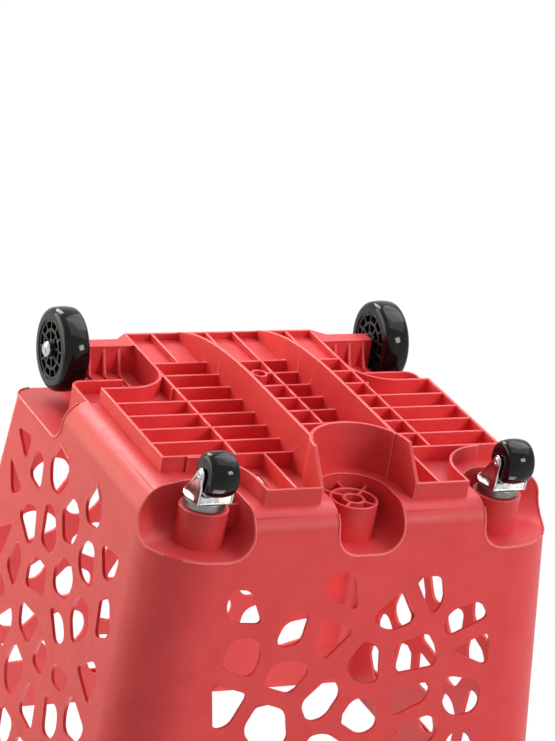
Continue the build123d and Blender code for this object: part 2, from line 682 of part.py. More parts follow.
# Pressed cups under the bosses and the bearing rings inside them
with BuildPart() as castor_cups:
    for side in (-1, 1):
        with Locations((side * CASTOR_X, CASTOR_Y, BOSS_Z)):
            Cylinder(CUP_R, CUP_H, align=(Align.CENTER, Align.CENTER, Align.MAX))
            Cylinder(KING_R, CUP_H, align=(Align.CENTER, Align.CENTER, Align.MAX), mode=Mode.SUBTRACT)
        with Locations((side * CASTOR_X, CASTOR_Y, BOSS_Z - CUP_T)):
            Cylinder(CUP_R - CUP_T, CUP_H, align=(Align.CENTER, Align.CENTER, Align.MAX),
                     mode=Mode.SUBTRACT)

with BuildPart() as castor_races:
    for side in (-1, 1):
        with BuildSketch(Plane.XY.offset(FORK_TOP + RACE_PLAY)):
            with Locations((side * CASTOR_X, CASTOR_Y)):
                Circle(RACE_R)
                Circle(RACE_HOLE_R, mode=Mode.SUBTRACT)
        extrude(amount=BOSS_Z - CUP_T - FORK_TOP - RACE_PLAY)

# Pull handle: a flat bar bent round the front of the rim, with an eye at each end
with BuildPart() as handle_frame:
    with BuildSketch(Plane.XY.offset(PIVOT_Z - ARM_H / 2)) as bend:
        with Locations((0, BAR_Y - ARM_T / 2)):
            Rectangle(2 * (ARM_HX + ARM_T), PIVOT_Y - BAR_Y + ARM_T / 2, align=(Align.CENTER, Align.MIN))
        fillet(bend.vertices().group_by(Axis.Y)[0], ARM_BEND + ARM_T)
        with BuildSketch(mode=Mode.SUBTRACT) as inside:
            with Locations((0, BAR_Y + ARM_T / 2)):
                Rectangle(2 * ARM_HX, PIVOT_Y - BAR_Y, align=(Align.CENTER, Align.MIN))
            fillet(inside.vertices().group_by(Axis.Y)[0], ARM_BEND)
    extrude(amount=ARM_H)
    for side in (-1, 1):
        with BuildSketch(Plane.YZ.offset(side * ARM_HX)):
            with Locations((PIVOT_Y, PIVOT_Z)):
                Circle(EYE_R)
        extrude(amount=side * ARM_T)
        with BuildSketch(Plane.YZ.offset(side * ARM_HX)):
            with Locations((PIVOT_Y, PIVOT_Z)):
                Circle(PIVOT_R + PIVOT_FIT)
        extrude(amount=side * ARM_T, mode=Mode.SUBTRACT)

with BuildPart() as handle_grip:
    with BuildSketch(Plane.YZ):
        with Locations((BAR_Y, PIVOT_Z)):
            RectangleRounded(GRIP_T, GRIP_H, GRIP_ROUND)
            Rectangle(ARM_T, ARM_H, mode=Mode.SUBTRACT)
    extrude(amount=GRIP_L / 2, both=True)

# Headed pins that carry the handle
with BuildPart() as handle_pins:
    for side in (-1, 1):
        inner = RIM_HX - LIP
        outer = ARM_HX + ARM_T + STOP_FIT
        with BuildSketch(Plane.YZ.offset(side * inner)):
            with Locations((PIVOT_Y, PIVOT_Z)):
                Circle(PIVOT_R)
        extrude(amount=side * (outer - inner))
        with BuildSketch(Plane.YZ.offset(side * outer)):
            with Locations((PIVOT_Y, PIVOT_Z)):
                Circle(PIVOT_HEAD_R)
        extrude(amount=side * PIVOT_HEAD_T)

save(basket.part, "basket")
save(axle_caps.part, "axle_caps")
save(castor_stems.part, "castor_stems")
save(castor_cups.part, "castor_cups")
save(castor_races.part, "castor_races")
save(handle_frame.part, "handle_frame")
save(handle_grip.part, "handle_grip")
save(handle_pins.part, "handle_pins")
for word, side in (("left", 1), ("right", -1)):
    save(hub(side), f"wheel_hub_{word}")
    save(tyre(side), f"wheel_tyre_{word}")
    save(axle_pin(side), f"axle_pin_{word}")
    save(fork(side), f"castor_fork_{word}")
    save(castor_axle(side), f"castor_axle_{word}")
    save(castor_wheel(side), f"castor_wheel_{word}")
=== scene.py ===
# %% [markdown]
# # A rolling shopping basket
# The real thing is a red moulded basket with irregular holes in its walls, two big wheels at the rear, two
# small swivel castors in front and a handle that folds up to pull it. Its underside, with a grid of ribs and
# two long skid fins, is what this lesson looks at most, because that is the side that the camera sees.

# %% Load the frame
import math

import bmesh
import bpy
from mathutils import Matrix, Vector


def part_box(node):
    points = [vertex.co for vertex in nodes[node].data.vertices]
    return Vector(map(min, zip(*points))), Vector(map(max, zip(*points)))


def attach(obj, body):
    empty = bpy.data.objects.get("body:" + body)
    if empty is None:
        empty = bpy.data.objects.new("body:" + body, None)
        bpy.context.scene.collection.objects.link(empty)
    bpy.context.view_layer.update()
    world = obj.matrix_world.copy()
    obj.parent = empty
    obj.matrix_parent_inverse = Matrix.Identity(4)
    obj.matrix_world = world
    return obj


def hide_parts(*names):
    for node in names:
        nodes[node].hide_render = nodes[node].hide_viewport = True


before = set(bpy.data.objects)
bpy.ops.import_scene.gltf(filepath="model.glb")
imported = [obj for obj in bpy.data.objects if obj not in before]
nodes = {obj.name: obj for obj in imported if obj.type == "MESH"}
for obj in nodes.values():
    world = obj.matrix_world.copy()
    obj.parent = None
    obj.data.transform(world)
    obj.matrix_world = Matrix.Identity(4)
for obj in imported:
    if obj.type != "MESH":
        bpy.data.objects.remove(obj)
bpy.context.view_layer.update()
scene = bpy.context.scene
scene.view_settings.view_transform = "Standard"
MM = 0.001
SIDES = {"left": 1, "right": -1}

# %% [markdown]
# ## The camera
# The object was photographed standing on its rim, so the camera here lies below the floor and is rolled over.
# A long lens far away keeps the perspective as weak as it is in a catalogue picture. The lens axis doesn't
# pass through the middle of the picture, which a small shift takes care of.

# %% Camera
PICTURE_W, PICTURE_H = 555, 741
FOCAL_PX = 3300.0
AXIS_PX = (374.06, 377.16)
CAMERA_AT = Vector((1.3111, -2.43675, -1.1258))
AZIMUTH, ELEVATION, ROLL = (math.radians(a) for a in (29.55, -21.9, 190.25))

back = Vector((math.sin(AZIMUTH) * math.cos(ELEVATION), -math.cos(AZIMUTH) * math.cos(ELEVATION),
               math.sin(ELEVATION)))
level_right = (-back).cross(Vector((0, 0, 1))).normalized()
level_up = level_right.cross(-back)
right = math.cos(ROLL) * level_right + math.sin(ROLL) * level_up
up = -math.sin(ROLL) * level_right + math.cos(ROLL) * level_up

lens = bpy.data.cameras.new("camera")
lens.sensor_fit = "AUTO"
lens.sensor_width = 36.0
lens.lens = FOCAL_PX * lens.sensor_width / PICTURE_H
lens.shift_x = (PICTURE_W / 2 - AXIS_PX[0]) / PICTURE_H
lens.shift_y = (AXIS_PX[1] - PICTURE_H / 2) / PICTURE_H
lens.clip_end = 50.0
camera = bpy.data.objects.new("camera", lens)
scene.collection.objects.link(camera)
camera.matrix_world = Matrix.Translation(CAMERA_AT) @ Matrix((right, up, back)).transposed().to_4x4()
scene.camera = camera
print("lens mm", round(lens.lens, 1), "shift", round(lens.shift_x, 4), round(lens.shift_y, 4))

# %% [markdown]
# ## Finishes
# Each finish is a small node tree on one Principled shader. Moulded plastic is never one flat colour: the
# melt flows unevenly and the mould has a faint grain, so noise moves the colour and the gloss a little and
# gives a shallow bump.

# %% A bare finish
def finish_nodes(name):
    """A new material with its tree, its Principled shader and object coordinates."""
    material = bpy.data.materials.new(name)
    material.use_nodes = True
    tree = material.node_tree
    shader = tree.nodes["Principled BSDF"]
    place = tree.nodes.new("ShaderNodeTexCoord")
    return material, tree, shader, place


def noise(tree, place, scale, detail=3.0, rough=0.55):
    """Noise over the object's own coordinates."""
    node = tree.nodes.new("ShaderNodeTexNoise")
    node.inputs["Scale"].default_value = scale
    node.inputs["Detail"].default_value = detail
    node.inputs["Roughness"].default_value = rough
    tree.links.new(place.outputs["Object"], node.inputs["Vector"])
    return node.outputs["Fac"]


print("a finish starts from one Principled shader and object coordinates")

# %% [markdown]
# Noise gives values about one half, and hardly any below 0.3 or above 0.7. So colour and gloss take that band
# and stretch it over the wanted range. The bump takes the noise as it is.

# %% What the noise moves
NOISE_LOW, NOISE_HIGH = 0.3, 0.7


def spread(tree, value, low, high):
    """Map a noise value to a range."""
    node = tree.nodes.new("ShaderNodeMapRange")
    node.inputs["From Min"].default_value = NOISE_LOW
    node.inputs["From Max"].default_value = NOISE_HIGH
    node.inputs["To Min"].default_value = low
    node.inputs["To Max"].default_value = high
    tree.links.new(value, node.inputs["Value"])
    return node.outputs["Result"]


def tint(tree, value, dark, light):
    """Colour between two tints, chosen by a noise value."""
    node = tree.nodes.new("ShaderNodeValToRGB")
    node.color_ramp.elements[0].position = NOISE_LOW
    node.color_ramp.elements[0].color = (*dark, 1)
    node.color_ramp.elements[1].position = NOISE_HIGH
    node.color_ramp.elements[1].color = (*light, 1)
    tree.links.new(value, node.inputs["Fac"])
    return node.outputs["Color"]


def grain(tree, shader, value, strength, depth):
    """Shallow bump from a noise value."""
    node = tree.nodes.new("ShaderNodeBump")
    node.inputs["Strength"].default_value = strength
    node.inputs["Distance"].default_value = depth
    tree.links.new(value, node.inputs["Height"])
    tree.links.new(node.outputs["Normal"], shader.inputs["Normal"])


print("noise is used between", NOISE_LOW, "and", NOISE_HIGH)

# %% [markdown]
# The basket is a satin red polypropylene. Light gets some way into it and comes out redder, which makes the
# thin ribs and the inside glow, and the shader's subsurface part does the same. The tips of the ribs and the
# lips of the pockets get a second, lighter red, which is a painted highlight for the light that these thin
# edges catch.

# %% Basket plastic
GLOW_DEPTH = (0.006, 0.0018, 0.0012)


def red_plastic(name, dark, light, gloss_low, gloss_high):
    """Satin moulded red plastic."""
    material, tree, shader, place = finish_nodes(name)
    mottle = noise(tree, place, scale=38.0, detail=4.0)
    tree.links.new(tint(tree, mottle, dark, light), shader.inputs["Base Color"])
    rubbing = noise(tree, place, scale=160.0)
    tree.links.new(spread(tree, rubbing, gloss_low, gloss_high), shader.inputs["Roughness"])
    shader.inputs["Specular IOR Level"].default_value = 0.31
    shader.inputs["Subsurface Weight"].default_value = 0.30
    shader.inputs["Subsurface Radius"].default_value = GLOW_DEPTH
    shader.inputs["Subsurface Scale"].default_value = 0.6
    grain(tree, shader, noise(tree, place, scale=900.0, detail=2.0), strength=0.10, depth=0.0004)
    return material


red = red_plastic("red_plastic", (0.69, 0.056, 0.060), (0.76, 0.070, 0.074), 0.40, 0.50)
# The second, paler red is a painted highlight for the rib tips and the lips of the pockets.
red_painted_highlight = red_plastic("red_painted_highlight", (0.80, 0.150, 0.145), (0.88, 0.200, 0.190), 0.30, 0.40)
print("reds", red.name, red_painted_highlight.name)

# %% [markdown]
# The wheels are a hard glossy black. Fine rubbing shows in the gloss, not in the colour, so the two blacks of
# a finish lie close together and its roughness does the work. The hub is the same plastic with a duller skin,
# because its pockets can't be polished in the mould.

# %% Wheel finishes
def black_finish(name, dark, light, gloss_low, gloss_high, shine):
    """Black moulded plastic or rubber with fine rubbing in its gloss."""
    material, tree, shader, place = finish_nodes(name)
    tree.links.new(tint(tree, noise(tree, place, scale=60.0), dark, light), shader.inputs["Base Color"])
    rubbing = noise(tree, place, scale=420.0, detail=5.0)
    tree.links.new(spread(tree, rubbing, gloss_low, gloss_high), shader.inputs["Roughness"])
    shader.inputs["Specular IOR Level"].default_value = shine
    grain(tree, shader, noise(tree, place, scale=700.0, detail=2.0), strength=0.04, depth=0.0002)
    return material


tyre_black = black_finish("tyre_black", (0.0025, 0.0025, 0.003), (0.005, 0.005, 0.006), 0.06, 0.11, 0.19)
hub_black = black_finish("hub_black", (0.003, 0.003, 0.004), (0.007, 0.007, 0.008), 0.24, 0.34, 0.18)
print("blacks", tyre_black.name, hub_black.name)

# %% [markdown]
# Castor forks, cups and pins are bright zinc plate on pressed steel. The plate has soft cloudy patches, which
# slow noise in the colour gives, and a slight waviness from the pressing, which is a wide shallow bump.

# %% Zinc plate
def zinc_plate(name, dark, light, gloss_low, gloss_high):
    """Zinc plate with cloudy patches."""
    material, tree, shader, place = finish_nodes(name)
    tree.links.new(tint(tree, noise(tree, place, scale=140.0), dark, light), shader.inputs["Base Color"])
    clouds = noise(tree, place, scale=300.0, detail=4.0)
    tree.links.new(spread(tree, clouds, gloss_low, gloss_high), shader.inputs["Roughness"])
    shader.inputs["Metallic"].default_value = 1.0
    grain(tree, shader, noise(tree, place, scale=220.0, detail=2.0), strength=0.12, depth=0.0005)
    return material


zinc = zinc_plate("zinc_plate", (0.40, 0.41, 0.43), (0.64, 0.64, 0.66), 0.12, 0.24)
dull_zinc = zinc_plate("dull_zinc", (0.16, 0.155, 0.15), (0.26, 0.25, 0.24), 0.34, 0.48)
print("metals", zinc.name, dull_zinc.name)

# %% [markdown]
# ## Two ways to make a piece
# A round piece is turned from a profile, as on a lathe. Other pieces start from the frame's own solid. Either
# way the piece moves with one body of the frame and stands for the node that it was made from.

# %% Adding a piece
SHARP_DEG = 32.0


def smooth_by_angle(mesh, degrees):
    """Shade smooth, with edges sharper than an angle kept sharp."""
    bm = bmesh.new()
    bm.from_mesh(mesh)
    bmesh.ops.recalc_face_normals(bm, faces=bm.faces)
    for face in bm.faces:
        face.smooth = True
    for edge in bm.edges:
        edge.smooth = len(edge.link_faces) == 2 and edge.calc_face_angle(0) < math.radians(degrees)
    bm.to_mesh(mesh)
    bm.free()


def shaded_mesh(name, bm, degrees=SHARP_DEG):
    """The mesh of a finished bmesh, shaded smooth between its sharp edges."""
    mesh = bpy.data.meshes.new(name)
    bm.to_mesh(mesh)
    bm.free()
    smooth_by_angle(mesh, degrees)
    return mesh


def add_piece(name, mesh, material, body, replaced):
    """Link a mesh as a piece that moves with a body and stands for frame nodes."""
    piece = bpy.data.objects.new(name, mesh)
    scene.collection.objects.link(piece)
    mesh.materials.clear()
    mesh.materials.append(material)
    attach(piece, body)
    if replaced:
        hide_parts(replaced)
    return piece


print("edges over", SHARP_DEG, "degrees stay sharp")

# %% [markdown]
# The lathe takes a profile of radius and place along the axis. A curve object with a Screw modifier would do
# it too, but rings of vertices in a loop keep the faces even and need no modifier.

# %% Lathe
def lathe_mesh(profile, centre, along, turns):
    """Turn a closed profile of (radius, distance along the axis) points, in mm, about an axis."""
    bm = bmesh.new()
    axis = along.normalized()
    side = axis.orthogonal().normalized()
    other = axis.cross(side)
    rings = []
    for radius, reach in profile:
        ring = []
        for k in range(turns):
            a = 2 * math.pi * k / turns
            ring.append(bm.verts.new(centre + axis * reach * MM
                                     + (side * math.cos(a) + other * math.sin(a)) * radius * MM))
        rings.append(ring)
    for inner, outer in zip(rings, rings[1:] + rings[:1]):
        for k in range(turns):
            bm.faces.new((inner[k], inner[k - 1], outer[k - 1], outer[k]))
    return bm


def round_size(node):
    """Centre of a round node that lies along X, with its radius and half width in mm."""
    low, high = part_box(node)
    return (low + high) / 2, (high.z - low.z) / 2 / MM, (high.x - low.x) / 2 / MM


print("big wheel radius", round(round_size("wheel_tyre_left")[1], 1), "mm")

# %% [markdown]
# Both kinds of wheel have the same outside: a round shoulder, a tread that is a little higher in the middle,
# and the other shoulder. The crown is a parabola between the ends of the two arcs, which is smooth enough at
# this size and needs only its height.

# %% Wheel profiles
def arc(centre_r, centre_a, radius, start, end, steps):
    """Points of a round corner in a lathe profile, from angle start to end in degrees."""
    return [(centre_r + radius * math.cos(math.radians(start + (end - start) * k / steps)),
             centre_a + radius * math.sin(math.radians(start + (end - start) * k / steps)))
            for k in range(steps + 1)]


def tread(edge, middle, half, steps=8):
    """Points of a crowned tread between its two edges, without the edges themselves."""
    return [(middle - (middle - edge) * (2 * k / steps - 1) ** 2, half * (2 * k / steps - 1))
            for k in range(1, steps)]


def rolling_profile(radius, half, shoulder, crown, start, end, steps):
    """Profile of a wheel's outside: a shoulder between two angles, a crowned tread, the other shoulder."""
    corner = radius - crown - shoulder
    edge_r = corner + shoulder * math.cos(math.radians(end))
    edge_a = half - shoulder + shoulder * math.sin(math.radians(end))
    return (arc(corner, -half + shoulder, shoulder, -start, -end, steps) + tread(edge_r, radius, edge_a)
            + arc(corner, half - shoulder, shoulder, end, start, steps))


print("a quarter turn in 8 steps has", len(arc(0, 0, 1, 0, 90, 8)), "points")

# %% [markdown]
# A copy of a solid is welded and its flat faces are joined again, so that an edge runs on as one edge and a
# flat side is one face.

# %% Finer copies
def finer_bmesh(node):
    """The node's solid with its vertices welded and its flat faces joined."""
    bm = bmesh.new()
    bm.from_mesh(nodes[node].data)
    bmesh.ops.remove_doubles(bm, verts=bm.verts, dist=2e-6)
    bmesh.ops.dissolve_limit(bm, angle_limit=math.radians(0.4), verts=bm.verts, edges=bm.edges)
    return bm


def split_large_faces(bm):
    """Triangulate faces of more than four corners, which a bevel would tear."""
    bmesh.ops.triangulate(bm, faces=[face for face in bm.faces if len(face.verts) > 4])


print("largest solid has", max(len(node.data.polygons) for node in nodes.values()), "faces")

# %% [markdown]
# The sharp edges of a copy get the small rounding that every moulded or pressed part has, so that they catch
# the light. A bevel modifier does it, with its overlap clamp off, because one short edge anywhere would
# bring the whole rounding down to nothing. Weighted normals then keep the flat faces flat in the light.

# %% Rounded copies
EDGE_DEG = 28.0


def round_edges(piece, width_mm, segments=2):
    """Small rounding on every edge that is sharp enough."""
    bevel = piece.modifiers.new("rounding", "BEVEL")
    bevel.width = width_mm * MM
    bevel.segments = segments
    bevel.limit_method = "ANGLE"
    bevel.angle_limit = math.radians(EDGE_DEG)
    bevel.use_clamp_overlap = False
    shading = piece.modifiers.new("even_shading", "WEIGHTED_NORMAL")
    shading.keep_sharp = True
    return bevel


def rounded_copy(name, node, material, body, width_mm, segments=2):
    """Piece made from a node's own solid, with small rounded edges."""
    bm = finer_bmesh(node)
    split_large_faces(bm)
    piece = add_piece(name, shaded_mesh(name, bm), material, body, node)
    round_edges(piece, width_mm, segments)
    print(name, "edges", width_mm, "mm")


print("edges over", EDGE_DEG, "degrees are rounded")

# %% [markdown]
# ## The basket
# The wall holes have soft corners: the mould's pins are rounded so that the melt flows round them. In the
# frame these corners are sharp. One bevel over all of them would stop at the tightest hole, so the corners
# are found first and sorted by hole.

# %% Hole corners
THINNEST_MM, THICKEST_MM = 2.4, 4.2
HOLES_LOW = 0.097
CORNER_DEG = 12
SQUARE = 0.9995


def hole_corner_edges(bm):
    """Edges that run through a wall at the corners of the holes, in groups of one hole each."""
    corner = {}
    for edge in bm.edges:
        run = edge.verts[1].co - edge.verts[0].co
        length = run.length / MM
        straight = max(abs(run.x), abs(run.y)) / max(run.length, 1e-9)
        through_wall = THINNEST_MM < length < THICKEST_MM and straight > SQUARE
        if through_wall and len(edge.link_faces) == 2 and edge.verts[0].co.z > HOLES_LOW:
            if edge.calc_face_angle(0) > math.radians(CORNER_DEG):
                corner[edge] = True
    groups = []
    while corner:
        group = [next(iter(corner))]
        del corner[group[0]]
        for edge in group:
            for face in edge.link_faces:
                for near in face.edges:
                    if corner.pop(near, False):
                        group.append(near)
        if len(group) >= 3:
            groups.append(group)
    return groups


bm = finer_bmesh("basket")
groups = hole_corner_edges(bm)
print("holes", len(groups), "corners", sum(len(group) for group in groups))

# %% [markdown]
# Each hole then gets a rounding as large as its shortest side allows, up to what the mould would have.

# %% Rounded holes
HOLE_CORNER_MM = 9.0
HOLE_SHARE = 0.42
for group in groups:
    sides = []
    for edge in group:
        for face in edge.link_faces:
            sides.append(max(e.calc_length() for e in face.edges))
    radius = min(HOLE_CORNER_MM * MM, HOLE_SHARE * min(sides))
    bmesh.ops.bevel(bm, geom=group, offset=radius, offset_type="OFFSET", segments=5, profile=0.5,
                    affect="EDGES", clamp_overlap=True)
bmesh.ops.recalc_face_normals(bm, faces=bm.faces)
print("faces with round holes", len(bm.faces))

# %% [markdown]
# The mouths of the pockets and arches have a thin rolled lip. A bevel of these edges would tear the large
# faces of the walls, so a bead is swept along each edge instead, half sunk in the plastic.

# %% Rims of the mouths
MOUTH_SIDE, MOUTH_FRONT, MOUTH_LOW = 0.183, -0.160, 0.0495


def outward_edge(edge):
    """Whether two faces meet at an outward corner."""
    return len(edge.link_faces) == 2 and edge.calc_face_angle_signed(0) > math.radians(EDGE_DEG)


def is_mouth(edge):
    """Whether an edge is the rim of a castor pocket or wheel arch in a side or front wall."""
    inside = all(MOUTH_LOW < v.co.z < HOLES_LOW for v in edge.verts)
    at_wall = all(abs(v.co.x) > MOUTH_SIDE or v.co.y < MOUTH_FRONT for v in edge.verts)
    return inside and at_wall and outward_edge(edge)


def chains(edges):
    """Join edges end to end into chains of vertices."""
    links = {}
    for edge in edges:
        for v in edge.verts:
            links.setdefault(v, []).append(edge)
    left = set(edges)
    found = []
    for first in sorted(links, key=lambda v: len(links[v]) != 1):
        for start in links[first]:
            if start not in left:
                continue
            chain, edge = [first], start
            while edge in left:
                left.discard(edge)
                chain.append(edge.other_vert(chain[-1]))
                onward = [e for e in links[chain[-1]] if e in left]
                edge = onward[0] if onward else None
            found.append(chain)
    return found


bm.normal_update()
mouth_chains = chains([edge for edge in bm.edges if is_mouth(edge)])
print("mouths", len(mouth_chains))

# %% [markdown]
# The bead is a ring of points at each vertex of the rim, square to the way the rim runs there. A curve with a
# round bevel could do this, but it would have to be turned into a mesh before it could join the piece.

# %% Lips
MOUTH_MM = 1.1
LIP_SHARP_DEG = 70.0


def bead(into, chain, radius, sides=6):
    """Sweep a round bead along a chain of vertices."""
    closed = chain[0] is chain[-1]
    points = [v.co for v in (chain[:-1] if closed else chain)]
    outs = [v.normal for v in (chain[:-1] if closed else chain)]
    count = len(points)
    rings = []
    for k in range(count):
        ahead = points[(k + 1) % count] if closed else points[min(k + 1, count - 1)]
        behind = points[k - 1] if closed else points[max(k - 1, 0)]
        run = (ahead - behind).normalized()
        out = (outs[k] - run * outs[k].dot(run)).normalized()
        side = run.cross(out)
        ring = []
        for j in range(sides):
            a = 2 * math.pi * j / sides
            ring.append(into.verts.new(points[k] + (out * math.cos(a) + side * math.sin(a)) * radius * MM))
        rings.append(ring)
    pairs = list(zip(rings, rings[1:]))
    if closed:
        pairs.append((rings[-1], rings[0]))
    for one, two in pairs:
        for j in range(sides):
            into.faces.new((one[j - 1], one[j], two[j], two[j - 1]))
    if not closed:
        into.faces.new(rings[0])
        into.faces.new(reversed(rings[-1]))


lips = bmesh.new()
for chain in mouth_chains:
    bead(lips, chain, MOUTH_MM)
lip_mesh = shaded_mesh("basket_lips", lips, LIP_SHARP_DEG)
# The lips take the paler red, a painted highlight along each rim.
add_piece("basket_lips", lip_mesh, red_painted_highlight, "basket_body", None)
print("lip faces", len(lip_mesh.polygons))

# %% [markdown]
# The tips of the ribs and fins are small straight edges, and there a plain bevel works. It is set edge by
# edge through the bevel weight, and its faces take the paler red, a painted highlight on the tips.

# %% Rib tips
EDGE_MM = 0.6
RIBS_TOP = 0.0605
split_large_faces(bm)
weight = bm.edges.layers.float.new("bevel_weight_edge")
tips = [edge for edge in bm.edges if outward_edge(edge) and max(v.co.z for v in edge.verts) < RIBS_TOP]
for edge in tips:
    edge[weight] = 0.0 if is_mouth(edge) else 1.0
basket_mesh = shaded_mesh("basket_moulding", bm)
basket = add_piece("basket_moulding", basket_mesh, red, "basket_body", "basket")
basket_mesh.materials.append(red_painted_highlight)
rounding = round_edges(basket, EDGE_MM)
rounding.limit_method = "WEIGHT"
# The bevel faces take the second material, the paler red of the painted highlight.
rounding.material = 1
print("rib tips", len(tips), "faces", len(basket_mesh.polygons))

# %% [markdown]
# ## The big wheels
# The tyre has a nearly flat tread and round shoulders, so it is turned. The hub keeps the frame's two rings
# of pockets, which a lathe can't make, and is a rounded copy.

# %% Wheels
TYRE_SHOULDER, TYRE_CROWN, SEAT_CHAMFER = 6.0, 0.7, 1.0
TYRE_SIDE_DEG, TYRE_TREAD_DEG = 90, 12
for word, side in SIDES.items():
    centre, radius, half = round_size(f"wheel_tyre_{word}")
    seat = round_size(f"wheel_hub_{word}")[1]
    profile = [(seat, -half + SEAT_CHAMFER), (seat + SEAT_CHAMFER, -half)]
    profile += rolling_profile(radius, half, TYRE_SHOULDER, TYRE_CROWN, TYRE_SIDE_DEG, TYRE_TREAD_DEG, 8)
    profile += [(seat + SEAT_CHAMFER, half), (seat, half - SEAT_CHAMFER)]
    bm = lathe_mesh(profile, centre, Vector((side, 0, 0)), 128)
    add_piece(f"tyre_{word}", shaded_mesh(f"tyre_{word}", bm), tyre_black, f"wheel_{word}",
              f"wheel_tyre_{word}")
    rounded_copy(f"hub_{word}", f"wheel_hub_{word}", hub_black, f"wheel_{word}", 0.35)
print("tyres", round(2 * radius), "mm across on hubs of", round(2 * seat), "mm")

# %% [markdown]
# ## The castors
# The little wheel is barrel shaped and very glossy. A cylinder with a bevel would have no crown, so it is
# turned like the tyre, with flat sides down to its bore.

# %% Castor wheels
CASTOR_BORE, CASTOR_CROWN, CASTOR_SHOULDER = 2.6, 1.2, 5.0
CASTOR_SIDE_DEG, CASTOR_TREAD_DEG = 80, 15
for word in SIDES:
    centre, radius, half = round_size(f"castor_wheel_{word}")
    face = radius - CASTOR_CROWN - CASTOR_SHOULDER
    profile = [(CASTOR_BORE, -half), (face, -half)]
    profile += rolling_profile(radius, half, CASTOR_SHOULDER, CASTOR_CROWN, CASTOR_SIDE_DEG,
                               CASTOR_TREAD_DEG, 6)
    profile += [(face, half), (CASTOR_BORE, half)]
    bm = lathe_mesh(profile, centre, Vector((1, 0, 0)), 96)
    add_piece(f"castor_tread_{word}", shaded_mesh(f"castor_tread_{word}", bm), tyre_black,
              f"castor_roller_{word}", f"castor_wheel_{word}")
print("castor wheels", round(2 * radius), "mm across")

# %% [markdown]
# The fork is bent from sheet and gets a soft edge. The rivet that carries the wheel is hollow, with its two
# ends rolled over, and this small curl is drawn as a profile and turned.

# %% Forks and rivets
RIVET_SHANK, RIVET_EYE, HEAD_MM = 2.5, 1.3, 1.5
HEAD_SHARE = 0.96
RIVET_SHARP_DEG = 50.0
for word in SIDES:
    rounded_copy(f"fork_{word}", f"castor_fork_{word}", zinc, f"castor_{word}", 0.5, 3)
    centre, radius, half = round_size(f"castor_axle_{word}")
    head = radius * HEAD_SHARE
    curl = [(RIVET_EYE, 0.9), (RIVET_EYE + 0.5, 0.2), (RIVET_EYE + 1.1, 0.0), (head - 0.9, 0.35)]
    curl += [(head, HEAD_MM), (RIVET_SHANK, HEAD_MM)]
    profile = [(r, depth - half) for r, depth in curl] + [(r, half - depth) for r, depth in reversed(curl)]
    bm = lathe_mesh(profile, centre, Vector((1, 0, 0)), 48)
    add_piece(f"castor_rivet_{word}", shaded_mesh(f"castor_rivet_{word}", bm, RIVET_SHARP_DEG), zinc,
              f"castor_{word}", f"castor_axle_{word}")
print("rivets", round(2 * half, 1), "mm long, heads", round(2 * head, 1), "mm")

# %% [markdown]
# The other metal pieces are fixed to the basket: stems and cups of the castors, axles with their caps, and
# the handle's pins. They are rounded copies in bright plate, apart from the cups, whose plate is duller.

# %% Plated pieces
for name, width in (("castor_stems", 0.5), ("axle_caps", 0.8), ("handle_pins", 0.8)):
    rounded_copy(f"{name}_plated", name, zinc, "basket_body", width, 3)
rounded_copy("castor_cups_plated", "castor_cups", dull_zinc, "basket_body", 1.0, 3)
for word in SIDES:
    rounded_copy(f"axle_{word}", f"axle_pin_{word}", zinc, "basket_body", 0.3)

# %% [markdown]
# The fork turns on a ring of natural nylon in each cup, a milky plastic with hardly any shine. Only a line
# of it shows, so a rounded copy is enough.

# %% Bearing rings
def nylon():
    """Natural nylon of the bearing rings."""
    material, tree, shader, place = finish_nodes("nylon")
    tree.links.new(tint(tree, noise(tree, place, scale=90.0), (0.62, 0.60, 0.54), (0.74, 0.72, 0.67)),
                   shader.inputs["Base Color"])
    shader.inputs["Roughness"].default_value = 0.5
    grain(tree, shader, noise(tree, place, scale=500.0), strength=0.08, depth=0.0003)
    return material


rounded_copy("bearing_rings", "castor_races", nylon(), "basket_body", 0.4)

# %% [markdown]
# ## The pull handle
# It is out of the picture, so it follows common baskets: a flat bar with rounded edges and a soft grip. The
# bar is satin black plastic and the grip is a dull rubber, both from the same finish as the wheels.

# %% Handle
handle_black = black_finish("handle_black", (0.010, 0.010, 0.011), (0.018, 0.018, 0.020), 0.34, 0.46, 0.4)
grip_black = black_finish("grip_black", (0.012, 0.012, 0.013), (0.022, 0.022, 0.024), 0.60, 0.75, 0.4)
rounded_copy("handle_bar", "handle_frame", handle_black, "handle", 2.0, 3)
rounded_copy("handle_sleeve", "handle_grip", grip_black, "handle", 2.0, 3)
low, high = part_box("handle_grip")
print("grip", round((high.x - low.x) / MM), "mm long")

# %% [markdown]
# ## Floor and background
# Both are built from a few small nodes, a mix of two shaders and plain sums of values, which get a helper
# each.

# %% Mixing nodes
def mixed(tree, share, one, two):
    """Mix of two shaders, where share is a number or another node's value."""
    mix = tree.nodes.new("ShaderNodeMixShader")
    if isinstance(share, float):
        mix.inputs["Fac"].default_value = share
    else:
        tree.links.new(share, mix.inputs["Fac"])
    tree.links.new(one, mix.inputs[1])
    tree.links.new(two, mix.inputs[2])
    return mix.outputs["Shader"]


def combined(tree, operation, one, two):
    """Sum, product or other plain combination of two node values."""
    node = tree.nodes.new("ShaderNodeMath")
    node.operation = operation
    node.use_clamp = True
    tree.links.new(one, node.inputs[0])
    tree.links.new(two, node.inputs[1])
    return node.outputs["Value"]


print("shaders are mixed by a number or by a node")

# %% [markdown]
# The floor is pale and keeps the shadow, but only a camera above it sees it: the view from below and all
# other rays pass through, so that the underside is lit as if it stood in the open. Half of its tone is plain
# white, and it fades out round the object, so that no far edge shows.

# %% Floor finish
FADE_FROM, FADE_TO = 0.45, 1.5


